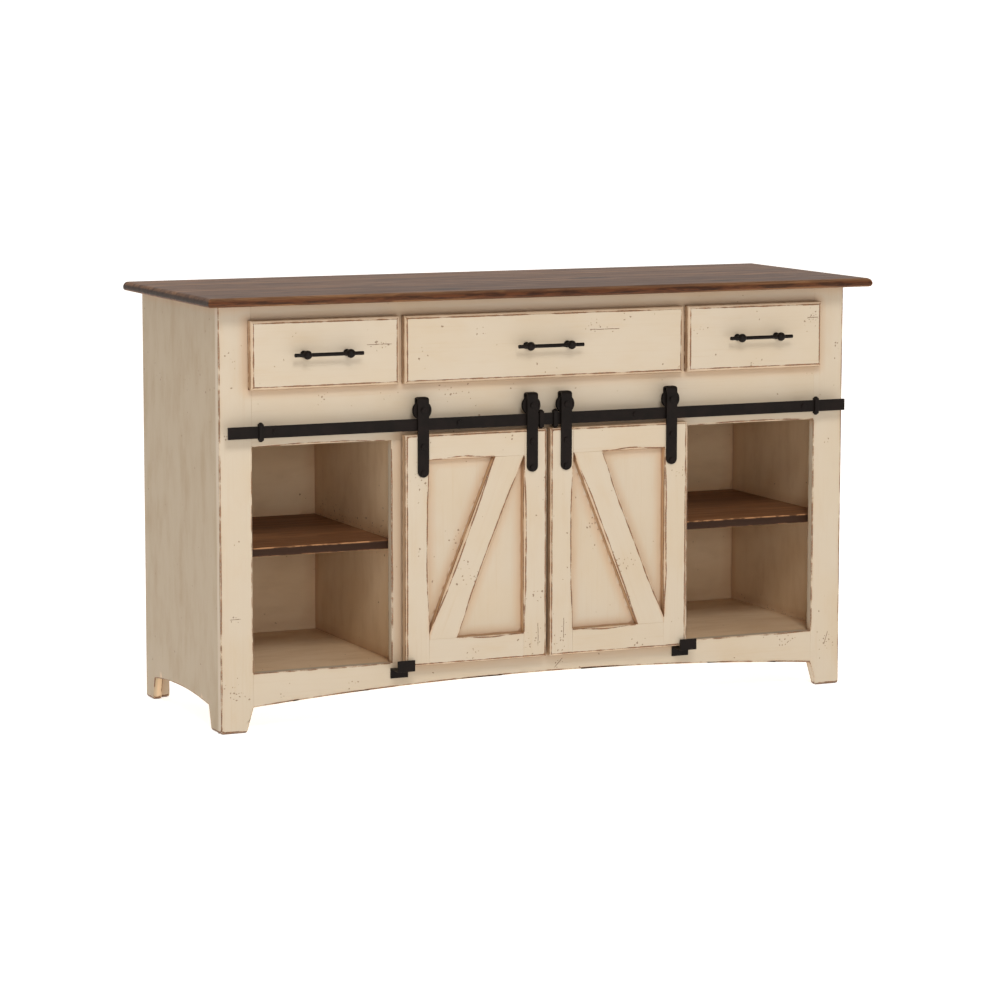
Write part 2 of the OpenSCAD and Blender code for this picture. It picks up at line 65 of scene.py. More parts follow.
MM = 0.001
SEED = 41
WELD = 0.01 * MM
SAME_PLANE = math.radians(0.05)
BODIES = frame["record"]["behaviour"]["bodies"]
BODY_OF = {node: body for body, nodes in BODIES.items() for node in nodes}
SLOT_OF = {s["node"]: s["material_slot"] for s in frame["record"]["subparts"]}


def add_object(name, data):
    """A new object in the scene."""
    obj = bpy.data.objects.new(name, data)
    bpy.context.scene.collection.objects.link(obj)
    return obj


# ---------------------------------------------------------------- solids of the frame


def cad_bmesh(node):
    """The CAD node as a clean mesh: welded, with its flat faces merged."""
    bm = bmesh.new()
    bm.from_mesh(frame["nodes"][node].data)
    bmesh.ops.remove_doubles(bm, verts=bm.verts, dist=WELD)
    bmesh.ops.dissolve_limit(bm, angle_limit=SAME_PLANE, verts=bm.verts, edges=bm.edges)
    bmesh.ops.recalc_face_normals(bm, faces=bm.faces)
    return bm


def solids(bm):
    """The separate solids of a mesh, each as (points, faces)."""
    found, seen = [], set()
    bm.verts.ensure_lookup_table()
    for start in bm.verts:
        if start.index in seen:
            continue
        seen.add(start.index)
        group, front = [], [start]
        while front:
            v = front.pop()
            group.append(v)
            for e in v.link_edges:
                w = e.other_vert(v)
                if w.index not in seen:
                    seen.add(w.index)
                    front.append(w)
        place = {v: i for i, v in enumerate(group)}
        faces = {f for v in group for f in v.link_faces}
        faces = sorted(faces, key=lambda f: f.index)
        found.append((
            [v.co.copy() for v in group],
            [[place[v] for v in f.verts] for f in faces],
        ))
    return found


class Solid:
    """One solid of a CAD node, with what is needed to ask how near another point is."""

    def __init__(self, node, points, faces):
        self.node = node
        self.points = points
        self.faces = faces
        self.tree = BVHTree.FromPolygons(points, faces)
        co = np.array(points)
        self.lo, self.hi = co.min(0), co.max(0)

    def near(self, lo, hi, reach):
        """True if the box between two corners comes within reach."""
        return bool(np.all(self.lo - reach <= hi) and np.all(self.hi + reach >= lo))

    def holds(self, point):
        """True if the point is inside."""
        if np.any(np.array(point) < self.lo) or np.any(np.array(point) > self.hi):
            return False
        hit, normal, _, _ = self.tree.find_nearest(point)
        return hit is not None and (point - hit).dot(normal) < 0


def read_solids(nodes):
    """The solids of some CAD nodes, by node."""
    return {n: [Solid(n, *s) for s in solids(cad_bmesh(n))] for n in nodes}


def boxed(node, lo, hi):
    """A plain board between two corners, as a Solid."""
    corners = [Vector((x, y, z)) for x in (lo[0], hi[0]) for y in (lo[1], hi[1])
               for z in (lo[2], hi[2])]
    return Solid(node, corners, [
        (0, 1, 3, 2), (4, 6, 7, 5), (0, 4, 5, 1), (2, 3, 7, 6), (0, 2, 6, 4), (1, 5, 7, 3)])


def square_up(found):
    """Makes drawer fronts, door frames and door panels plain boards, to be worn later."""
    for node in found:
        if node.endswith(("_front", "_stiles", "_rails")) and node.startswith(("drawer", "door")):
            found[node] = [boxed(node, s.lo, s.hi) for s in found[node]]
    for door in ("door_left", "door_right"):
        one, two = sorted(found[f"{door}_stiles"], key=lambda s: s.lo[0])
        low, high = sorted(found[f"{door}_rails"], key=lambda s: s.lo[2])
        (panel,) = found[f"{door}_panel"]
        found[f"{door}_panel"] = [boxed(
            f"{door}_panel", (one.hi[0], panel.lo[1], low.hi[2]),
            (two.lo[0], panel.hi[1], high.lo[2]))]


WOODEN = [n for n, s in SLOT_OF.items() if s in ("cream_paint", "walnut_stain", "drawer_wood")]
METAL = [n for n, s in SLOT_OF.items() if s in ("black_iron", "slide_steel")]
SOLIDS = read_solids(WOODEN)
square_up(SOLIDS)

# ---------------------------------------------------------------- worn boards

RIM = 8 * MM            # first grid line in from each side of a board
ARRIS = math.radians(25)            # a sharper edge than this is an arris
SHORTEST_ARRIS = 0.5 * MM
WIDEST_WEAR = 7 * MM
THICKNESS_SHARE = 0.42  # no wear is wider than this share of a board's thickness
HIDDEN_EASE = 0.12 * MM
EASE_SEGMENTS = 2
FAR = 30 * MM           # distances to edges and corners are not told apart beyond this
SIDE_SHADE_SHARE = 0.5        # the cabinet's ends get painted shade: a darker coat, between outside and inside
SOLE = 1 * MM           # arrises below this height are those of the feet
FOOT_ROUND, DRAWER_ROUND, DOOR_ROUND = 5 * MM, 6.2 * MM, 4 * MM
ARCH_ROUND, SHELF_ROUND = 2.6 * MM, 2.6 * MM
BRACE_CUT, DOOR_CUT, TRACK_CUT, FRAME_CUT = 4.4 * MM, 4.6 * MM, 3.6 * MM, 1.8 * MM
BOARD_SHARP = math.radians(50)      # shading stays sharp over edges steeper than this
FRAME = ("stile_left", "stile_right", "inner_stiles", "top_rail", "track_rail", "bottom_rail")
SHELL = ("side_left", "side_right", "bottom_panel", "back_panel", "dust_panels", "top_stretchers")
CABINET_MIDDLE = (Vector(cad_box[0]) + Vector(cad_box[1])) / 2


def is_shelf(node):
    """True for the cubby shelves and the shelf behind the doors."""
    return node.endswith(("shelf", "shelves"))


def own_frame(node, points, faces):
    """Rotation whose rows are the solid's length, width and thickness directions.

    The grain runs along the length, except that a shelf's always runs from side to side.
    """
    longest, along = (math.inf if is_shelf(node) else 0), Vector((1, 0, 0))
    largest, normal = 0, Vector((0, 0, 1))
    longer, larger = 1e-6, 1e-9     # by less than this, two sides or faces count as equal
    for f in faces:
        ring = [points[i] for i in f]
        area = Vector()
        for a, b in zip(ring, ring[1:] + ring[:1]):
            area += a.cross(b) / 2
            if (b - a).length > longest + longer:
                longest, along = (b - a).length, (b - a).normalized()
        if area.length > largest + larger:
            largest, normal = area.length, area.normalized()
    if abs(along.dot(normal)) > 0.1:
        normal = Vector((0, 0, 1)) if abs(along.z) < 0.5 else Vector((0, 1, 0))
    if max(along, key=abs) < 0:
        along = -along
    if max(normal, key=abs) < 0:
        normal = -normal
    across = normal.cross(along).normalized()
    return Matrix((along, across, normal))


def grid_cut(bm, pitch):
    """Cuts the board into a grid, with a line near each side."""
    touching = 1e-7
    co = np.array([v.co for v in bm.verts])
    lo, hi = co.min(0), co.max(0)
    for axis in range(3):
        size = hi[axis] - lo[axis]
        if size < 3 * RIM:
            cuts = [size / 2] if size > 2 * WIDEST_WEAR else []
        else:
            n = max(1, round((size - 2 * RIM) / pitch))
            cuts = [RIM + (size - 2 * RIM) * i / n for i in range(n + 1)]
        for c in cuts:
            at, direction = Vector(), Vector()
            at[axis], direction[axis] = lo[axis] + c, 1
            bmesh.ops.bisect_plane(
                bm, geom=bm.verts[:] + bm.edges[:] + bm.faces[:],
                dist=touching, plane_co=at, plane_no=direction)


def covered(edge, turn, neighbours):
    """True if another board lies against this bit of arris."""
    proud, back_in = 0.8 * MM, 0.6 * MM
    mid = (edge.verts[0].co + edge.verts[1].co) / 2
    one, two = (f.normal for f in edge.link_faces)
    for outward, inward in ((one, two), (two, one)):
        probe = turn.transposed() @ (mid + outward * proud - inward * back_in)
        if any(s.holds(probe) for s in neighbours):
            return True
    return False


def rubbed(point, wear=1.0):
    """Width of ordinary wear at a point of an arris: rough, broken stretches."""
    slow = noise.noise(point * 9 + Vector((3, 1, 7)))
    quick = noise.noise(point * 60)
    return max(0.45, (1.15 + 0.75 * slow + 0.55 * quick) * wear) * MM


def rounded(point, width):
    """A rounded arris, a little uneven."""
    return width + (0.35 * noise.noise(point * 14) + 0.25 * noise.noise(point * 70)) * MM


def planed(point, depth, inset, half):
    """A stopped chamfer cut by hand: nothing near the ends, full in the middle."""
    stop, reach = 12 * MM, min(half, 110 * MM)
    if reach < 2 * stop:
        return rubbed(point)
    t = min(1, max(0, (inset - stop) / (reach - stop)))
    uneven = 0.85 + 0.35 * noise.noise(point * 7) + 0.12 * noise.noise(point * 40)
    return rubbed(point) * (1 - 0.5 * t) + depth * t * t * (3 - 2 * t) * uneven


def wear_style(node, wear):
    """How wide the wear is on a node's arrises, from place, face normals and inset."""
    frame_like = FRAME + SHELL + ("rear_leg_blocks",)
    facing = 0.9
    door = node.rsplit("_", 1)[0] if node.startswith("door") else None
    if door:
        lo, hi = (Vector(c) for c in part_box(f"{door}_panel"))
        middle = (lo + hi) / 2

    def width(point, normals, inset, half):
        front = [n for n in normals if n.y < -facing]
        side = [n for n in normals if n.y > -facing]
        if node in frame_like and point.z < SOLE:
            return rounded(point, FOOT_ROUND)
        if not front or not side:
            return rubbed(point, wear)
        if node.startswith("drawer") and node.endswith("_front"):
            return rounded(point, DRAWER_ROUND)
        if node.endswith("_brace"):
            return planed(point, BRACE_CUT, inset, half)
        if node.endswith(("_stiles", "_rails")) and door:
            inward = side[0].dot(middle - point) > 0
            return planed(point, DOOR_CUT, inset, half) if inward else rounded(point, DOOR_ROUND)
        if node == "track_rail":
            return planed(point, TRACK_CUT, inset, half)
        if node == "bottom_rail" and side[0].z < -facing:
            return rounded(point, ARCH_ROUND)
        if is_shelf(node) and side[0].z > facing:
            return rounded(point, SHELF_ROUND)
        if node in FRAME:
            return planed(point, FRAME_CUT, inset, half)
        return rubbed(point, wear)

    return width


def arris_stretches(edges):
    """For each arris: its distance from the end of its straight stretch, and half that stretch."""
    line_grid, widest_break = 0.5 * MM, 0.6 * MM
    lines = {}
    for e in edges:
        a, b = e.verts[0].co, e.verts[1].co
        along = (b - a).normalized()
        if max(along, key=abs) < 0:
            along = -along
        foot = a - along * a.dot(along)
        key = tuple(round(c, 2) for c in along) + tuple(round(c / line_grid) for c in foot)
        span = sorted((a.dot(along), b.dot(along)))
        lines.setdefault(key, []).append((span[0], span[1], e))
    found = {}
    for spans in lines.values():
        spans.sort(key=lambda s: s[0])
        runs = []
        for low, high, e in spans:
            if not runs or low > runs[-1][1] + widest_break:
                runs.append([low, high, []])
            runs[-1][1] = max(runs[-1][1], high)
            runs[-1][2].append((low, high, e))
        for start, end, members in runs:
            for low, high, e in members:
                at = (low + high) / 2
                found[e] = (min(at - start, end - at), (end - start) / 2)
    return found


def bevelled(bm, width):
    """The mesh with its weighted edges eased, through a bevel modifier."""
    mesh = bpy.data.meshes.new("board")
    bm.to_mesh(mesh)
    obj = add_object("board", mesh)
    ease = obj.modifiers.new("ease", "BEVEL")
    ease.limit_method = "WEIGHT"
    ease.width = width
    ease.segments = EASE_SEGMENTS
    ease.use_clamp_overlap = False
    eased = bpy.data.meshes.new_from_object(
        obj.evaluated_get(bpy.context.evaluated_depsgraph_get()))
    bpy.data.objects.remove(obj)
    bpy.data.meshes.remove(mesh)
    return eased


def nearest_arris(points, starts, ends, widths):
    """For each point, the distance to the nearest worn arris and how wide its wear is there."""
    batch, least_square = 400, 1e-18
    away, worn = np.full(len(points), FAR), np.zeros(len(points))
    if len(starts) == 0:
        return away, worn
    step = ends - starts
    square = np.maximum((step ** 2).sum(1), least_square)
    for at in range(0, len(points), batch):
        p = points[at:at + batch, None, :]
        t = np.clip(((p - starts) * step).sum(2) / square, 0, 1)
        gap = np.linalg.norm(p - starts - t[..., None] * step, axis=2)
        pick = gap.argmin(1)
        row = np.arange(len(pick))
        part = t[row, pick]
        away[at:at + batch] = np.minimum(gap[row, pick], FAR)
        worn[at:at + batch] = widths[pick, 0] * (1 - part) + widths[pick, 1] * part
    return away, worn


def corner_distance(points, normals, neighbours):
    """Along the surface, the distance to the nearest board that stands proud of it."""
    lift, least_rise = 2.5 * MM, 0.5 * MM
    out = np.full(len(points), FAR)
    for other in neighbours:
        close = np.all((points > other.lo - FAR) & (points < other.hi + FAR), axis=1)
        for i in np.nonzero(close)[0]:
            p, n = Vector(points[i]), Vector(normals[i])
            hit = other.tree.find_nearest(p + n * lift, FAR)[0]
            if hit is None:
                continue
            rise = (hit - p).dot(n)
            if rise > least_rise:
                out[i] = min(out[i], (hit - p - n * rise).length)
    return out


def board_grid(solid, turn, pitch):
    """The board in its own frame, cut into a grid."""
    bm = bmesh.new()
    verts = [bm.verts.new(turn @ p) for p in solid.points]
    for f in solid.faces:
        bm.faces.new([verts[i] for i in f])
    bmesh.ops.recalc_face_normals(bm, faces=bm.faces)
    bm.normal_update()
    grid_cut(bm, pitch)
    bm.normal_update()
    bm.verts.index_update()
    return bm


def weigh_arrises(bm, solid, turn, neighbours, style):
    """Sets every arris's bevel weight. Returns the open ones: their ends, and the wear there."""
    weights = bm.edges.layers.float.new("bevel_weight_edge")
    widest = min(WIDEST_WEAR, THICKNESS_SHARE * min(solid.hi - solid.lo))
    open_edges, at_vertex = [], {}
    for e in bm.edges:
        if len(e.link_faces) != 2 or not e.is_convex:
            continue
        if e.calc_face_angle() < ARRIS or e.calc_length() < SHORTEST_ARRIS:
            continue
        if covered(e, turn, neighbours):
            e[weights] = HIDDEN_EASE / WIDEST_WEAR
        else:
            open_edges.append(e)
    stretches = arris_stretches(open_edges)
    back = turn.transposed()
    for e in open_edges:
        mid = back @ ((e.verts[0].co + e.verts[1].co) / 2)
        normals = [back @ f.normal for f in e.link_faces]
        width = min(widest, style(mid, normals, *stretches[e]))
        e[weights] = width / WIDEST_WEAR
        for v in e.verts:
            at_vertex.setdefault(v, []).append(width)
    starts = [e.verts[0].co.copy() for e in open_edges]
    ends = [e.verts[1].co.copy() for e in open_edges]
    widths = [[sum(at_vertex[v]) / len(at_vertex[v]) for v in e.verts] for e in open_edges]
    return (np.array(starts).reshape(-1, 3), np.array(ends).reshape(-1, 3),
            np.array(widths).reshape(-1, 2))


def worn_solid(solid, neighbours, pitch, style, offset):
    """One board: its points, faces and surface measures, after the easing of its arrises."""
    turn = own_frame(solid.node, solid.points, solid.faces)
    bm = board_grid(solid, turn, pitch)
    open_arrises = weigh_arrises(bm, solid, turn, neighbours, style)
    eased = bevelled(bm, WIDEST_WEAR)
    bm.free()
    count = len(eased.vertices)
    local, normals = np.zeros(count * 3), np.zeros(count * 3)
    eased.vertices.foreach_get("co", local)
    eased.vertices.foreach_get("normal", normals)
    local, normals = local.reshape(-1, 3), normals.reshape(-1, 3)
    away, worn = nearest_arris(local, *open_arrises)
    to_world = np.array(turn.transposed()).T
    world, world_normals = local @ to_world, normals @ to_world
    made = {
        "points": world,
        "faces": [list(p.vertices) for p in eased.polygons],
        "edge": away,
        "wear": worn,
        "corner": corner_distance(world, world_normals, neighbours),
        "around": front_distance(solid.node, world, world_normals),
        "broad": np.abs(normals[:, 2]),
        "end": np.abs(normals[:, 0]),
        "inner": inner_share(solid.node, world, world_normals),
        "lip": lip_share(solid.node, world_normals),
        "foot": np.minimum(world[:, 2], FAR),
        "grain": local - local.min(0) + np.array(offset),
    }
    bpy.data.meshes.remove(eased)
    return made


def inner_share(node, points, normals):
    """1 where a surface faces the inside of the cabinet, which takes painted bounce light; the
    side share on its ends, which take painted shade; 0 elsewhere.
    """
    if node.startswith("partition") or is_shelf(node):
        return np.ones(len(points))
    if node in FRAME:
        return np.clip(normals[:, 1], 0, 1)
    if node in SHELL:
        clearly = 0.05
        inward = (normals * (np.array(CABINET_MIDDLE) - points)).sum(1)
        return np.where(inward > clearly, 1, SIDE_SHADE_SHARE if node.startswith("side") else 0)
    return np.zeros(len(points))


def front_distance(node, points, normals):
    """On the face frame, the distance to the drawer fronts and doors standing before it, where
    painted shadow falls round them.
    """
    if node not in FRAME:
        return np.full(len(points), FAR)
    proud = [s for n in WOODEN if n.startswith(("drawer", "door"))
             and n.endswith(("_front", "_stiles", "_rails")) for s in SOLIDS[n]]
    return corner_distance(points, normals, proud)


def lip_share(node, normals):
    """1 on the sides of the drawer fronts and doors, which take painted shade."""
    if node.startswith(("drawer", "door")):
        return np.clip(1.2 - 3 * np.abs(normals[:, 1]), 0, 1)
    return np.zeros(len(normals))


def joined(parts):
    """The points and faces of several parts as one."""
    points, faces, start = [], [], 0
    for part in parts:
        points.append(part["points"])
        faces += [[i + start for i in f] for f in part["faces"]]
        start += len(part["points"])
    return np.concatenate(points), faces


FLOATS = ("edge", "wear", "corner", "around", "broad", "end", "inner", "lip", "foot", "spots")
VECTORS = ("grain", "mark")


def build_piece(node, parts, material):
    """Joins finished parts into one object that stands for a CAD node."""
    points, faces = joined(parts)
    mesh = bpy.data.meshes.new(f"{node}_worn")
    mesh.from_pydata(points.tolist(), [], faces)
    for key in FLOATS:
        layer = mesh.attributes.new(key, "FLOAT", "POINT")
        layer.data.foreach_set("value", np.concatenate([p[key] for p in parts]))
    for key in VECTORS:
        layer = mesh.attributes.new(key, "FLOAT_VECTOR", "POINT")
        layer.data.foreach_set("vector", np.concatenate([p[key] for p in parts]).ravel())
    mesh.validate()
    mesh.update()
    mesh.shade_smooth()
    mesh.set_sharp_from_angle(angle=BOARD_SHARP)
    mesh.materials.append(material)
    obj = add_object(f"{node}_worn", mesh)
    flat = obj.modifiers.new("flat faces", "WEIGHTED_NORMAL")
    flat.keep_sharp = True
    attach(obj, BODY_OF[node])
    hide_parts(node)


# Patches of worm holes: how far across and up the whole node, and their reach.
SPOTS = {
    "drawer_left_front": ((0.12, 0.20, 9 * MM), (0.78, 0.92, 9 * MM), (0.88, 0.62, 12 * MM)),
    "drawer_middle_front": ((0.06, 0.45, 9 * MM), (0.27, 0.72, 9 * MM), (0.66, 0.74, 17 * MM),
                            (0.80, 0.93, 9 * MM)),
    "drawer_right_front": ((0.10, 0.65, 12 * MM), (0.49, 0.92, 7 * MM), (0.48, 0.10, 9 * MM),
                           (0.93, 0.74, 13 * MM)),
    "door_left_stiles": ((0.10, 0.80, 17 * MM), (0.09, 0.50, 9 * MM), (0.93, 0.28, 15 * MM),
                         (0.89, 0.06, 15 * MM), (0.96, 0.78, 8 * MM)),
    "door_left_rails": ((0.42, 0.03, 14 * MM), (0.85, 0.98, 12 * MM)),
    "door_left_brace": ((0.42, 0.36, 20 * MM), (0.58, 0.66, 6 * MM)),
    "door_right_stiles": ((0.93, 0.78, 10 * MM), (0.14, 0.53, 6 * MM), (0.10, 0.36, 9 * MM),
                          (0.07, 0.06, 15 * MM), (0.94, 0.11, 10 * MM)),
    "door_right_rails": ((0.30, 0.98, 10 * MM), (0.70, 0.03, 12 * MM)),
    "door_right_brace": ((0.57, 0.34, 20 * MM),),
    "stile_left": ((0.50, 0.87, 12 * MM), (0.45, 0.10, 17 * MM), (0.30, 0.70, 7 * MM)),
    "stile_right": ((0.45, 0.62, 8 * MM), (0.70, 0.85, 9 * MM), (0.50, 0.10, 18 * MM)),
    "track_rail": ((0.12, 0.75, 9 * MM), (0.23, 0.75, 12 * MM), (0.33, 0.75, 16 * MM),
                   (0.37, 0.70, 14 * MM), (0.71, 0.80, 10 * MM)),
    "bottom_rail": ((0.05, 0.45, 12 * MM), (0.17, 0.50, 12 * MM), (0.95, 0.80, 18 * MM)),
}


def spot_field(node, part, rng):
    """Where worm holes gather on a board: at the patches named above, or at one of its own.

    Depth isn't counted: on a board that runs front to back, a patch is a level band.
    """
    co = part["points"]
    lo = np.min([s.lo for s in SOLIDS[node]], axis=0)
    size = np.max([s.hi for s in SOLIDS[node]], axis=0) - lo
    stray = ((rng.random(), rng.random(), rng.uniform(14, 26) * MM),)
    field = np.zeros(len(co))
    for across, up, reach in SPOTS.get(node, stray):
        away = (co - lo - size * np.array((across, 0.5, up)))[:, [0, 2]]
        field = np.maximum(field, np.exp(-(away ** 2).sum(1) / reach ** 2))
    return field


# Cracks: how far across and up the board, length, and degrees from level.
MARKS = {
    "drawer_left_front": (0.86, 0.60, 58 * MM, 0),
    "drawer_middle_front": (0.71, 0.70, 72 * MM, 0),
    "drawer_right_front": (0.93, 0.76, 29 * MM, 0),
    "door_left_stiles": (0.62, 0.10, 52 * MM, 90),
    "door_right_stiles": (0.60, 0.12, 46 * MM, 90),
    "bottom_rail": (0.53, 0.62, 30 * MM, 48),
    "stile_left": (0.45, 0.27, 26 * MM, 0),
    "stile_right": (0.55, 0.12, 30 * MM, 74),
}


def mark_place(node, solid, points):
    """Each point's place along and across the board's one crack; far off where it has none."""
    nearest_middle = min(SOLIDS[node], key=lambda s: abs(s.lo[0] + s.hi[0]))
    if node not in MARKS or solid is not nearest_middle:
        return np.full((len(points), 3), 9 * FAR) * (1, 1, 0)
    across, up, length, angle = MARKS[node]
    size = solid.hi - solid.lo
    away = points - (solid.lo + size * np.array((across, 0.5, up)))
    c, s = math.cos(math.radians(angle)), math.sin(math.radians(angle))
    return np.stack((away[:, 0] * c + away[:, 2] * s, away[:, 2] * c - away[:, 0] * s,
                     np.full(len(points), length / 2)), axis=1)


GRAIN_FIELD = 40        # metres: every board takes its grain from its own part of the noise


def wooden_piece(node, material, pitch, wear):
    """A wooden CAD node, made again as boards with worn arrises."""
    rng = random.Random(f"{SEED} {node}")
    others = [s for n in WOODEN if BODY_OF[n] == BODY_OF[node] for s in SOLIDS[n]]
    style = wear_style(node, wear)
    parts = []
    for solid in SOLIDS[node]:
        offset = [rng.uniform(0, GRAIN_FIELD) for _ in range(3)]
        neighbours = [s for s in others if s is not solid and s.near(solid.lo, solid.hi, FAR)]
        part = worn_solid(solid, neighbours, pitch, style, offset)
        part["spots"] = spot_field(node, part, rng)
        part["mark"] = mark_place(node, solid, part["points"])
        parts.append(part)
    build_piece(node, parts, material)


# ---------------------------------------------------------------- metal pieces

TURNS = 40              # facets round a turned piece
PULL_PITCH = 96 * MM    # between a pull's two posts


def turned(profile, origin, axis):
    """A solid of revolution: (distance along the axis, radius) pairs, closed at both ends."""
    axis = Vector(axis).normalized()
    side = axis.orthogonal().normalized()
    other = axis.cross(side)
    points, faces = [], []
    for along, radius in profile:
        for k in range(TURNS):
            a = 2 * math.pi * k / TURNS
            rim = side * math.cos(a) + other * math.sin(a)
            points.append(Vector(origin) + axis * along + rim * radius)
    for r in range(len(profile) - 1):
        for k in range(TURNS):
            n = (k + 1) % TURNS
            faces.append([r * TURNS + k, r * TURNS + n, (r + 1) * TURNS + n, (r + 1) * TURNS + k])
    faces.append(list(range(TURNS))[::-1])
    faces.append([(len(profile) - 1) * TURNS + k for k in range(TURNS)])
    return {"points": np.array(points), "faces": faces}


def rod(length, radius, ease):
    """Profile of a plain rod with eased ends."""
    return [(0, radius - ease), (0.3 * ease, radius - 0.3 * ease), (ease, radius),
            (length - ease, radius), (length - 0.3 * ease, radius - 0.3 * ease),
            (length, radius - ease)]


def ball(radius, flat):
    """Profile of a ball with a flat at each end, centred on the origin."""
    steps = 14
    top = math.asin(flat / radius)
    angles = [top + (math.pi - 2 * top) * i / steps for i in range(steps + 1)]
    return [(-radius * math.cos(a), radius * math.sin(a)) for a in angles]


def pull_parts(node):
    """A drawer pull: a rod through two balls, each on a post with a flared foot."""
    lo, hi = (Vector(c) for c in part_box(node))
    ball_r = (hi.z - lo.z) / 2
    middle, height, rod_y = (lo.x + hi.x) / 2, (lo.z + hi.z) / 2, lo.y + ball_r
    post = hi.y - rod_y
    rod_r, post_r, foot_r, foot_t = 4 * MM, 4.2 * MM, 7.5 * MM, 3 * MM
    parts = [turned(rod(hi.x - lo.x, rod_r, 0.8 * MM), (lo.x, rod_y, height), (1, 0, 0))]
    for x in (middle - PULL_PITCH / 2, middle + PULL_PITCH / 2):
        parts.append(turned(ball(ball_r, rod_r), (x, rod_y, height), (1, 0, 0)))
        parts.append(turned(
            [(0, post_r), (post - 2 * foot_t, post_r), (post - foot_t, post_r + 1 * MM),
             (post - foot_t, foot_r - 0.8 * MM), (post - 0.7 * foot_t, foot_r), (post, foot_r)],
            (x, rod_y, height), (0, 1, 0)))
    return parts


def bmesh_part(bm):
    """A bmesh as a plain part."""
    bm.verts.index_update()
    made = {"points": np.array([v.co[:] for v in bm.verts]),
            "faces": [[v.index for v in f.verts] for f in bm.faces]}
    bm.free()
    return made


# Profile of a stop's domed screw, and how deep its root is sunk in the clamp.
DOME = ((0, 4.6 * MM), (1.6 * MM, 4.6 * MM), (2.8 * MM, 3.8 * MM), (3.6 * MM, 2.4 * MM),
        (4 * MM, 1 * MM))
DOME_SUNK = 1 * MM


def knob_parts(node):
    """The track stops: each a clamp round the bar, with a domed screw above and below it."""
    parts = [bmesh_part(cad_bmesh(node))]
    for stop in read_solids([node])[node]:
        centre, size = (stop.lo + stop.hi) / 2, stop.hi - stop.lo
        for end in (-1, 1):
            root = Vector(centre) + Vector((0, 0, end * (size[2] / 2 - DOME_SUNK)))
            parts.append(turned(DOME, root, (0, 0, end)))
    return parts


# How far the arrises of metal pieces are eased; the named ones get a rounder edge.
PLAIN_EASE = 0.5 * MM
METAL_SHARP = math.radians(40)
EASES = {"track_stops": 1.6 * MM, "door_left_bolts": 1.2 * MM, "door_right_bolts": 1.2 * MM,
         "track_bolts": 1.0 * MM, "door_left_hangers": 0.9 * MM, "door_right_hangers": 0.9 * MM}


def metal_piece(node, material):
    """A metal CAD node with its arrises eased and its round faces smoothed."""
    if node.endswith("_pull"):
        parts = pull_parts(node)
    elif node == "track_stops":
        parts = knob_parts(node)
    else:
        parts = [bmesh_part(cad_bmesh(node))]
    points, faces = joined(parts)
    mesh = bpy.data.meshes.new(f"{node}_metal")
    mesh.from_pydata(points.tolist(), [], faces)
    mesh.shade_smooth()
    mesh.set_sharp_from_angle(angle=METAL_SHARP)
    mesh.materials.append(material)
    obj = add_object(f"{node}_metal", mesh)
    if not node.endswith("_pull"):
        bevel = obj.modifiers.new("eased arrises", "BEVEL")
        bevel.width = EASES.get(node, PLAIN_EASE)
        bevel.segments = 3 if node in EASES else 2
        bevel.angle_limit = METAL_SHARP
        bevel.harden_normals = True
    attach(obj, BODY_OF[node])
    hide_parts(node)


# ---------------------------------------------------------------- materials


def srgb(r, g, b):
    """A colour given as 0 to 255 values, in linear light and opaque."""
    out = []
    for c in (r, g, b):
        c /= 255
        out.append(c / 12.92 if c <= 0.04045 else ((c + 0.055) / 1.055) ** 2.4)
    return (*out, 1.0)


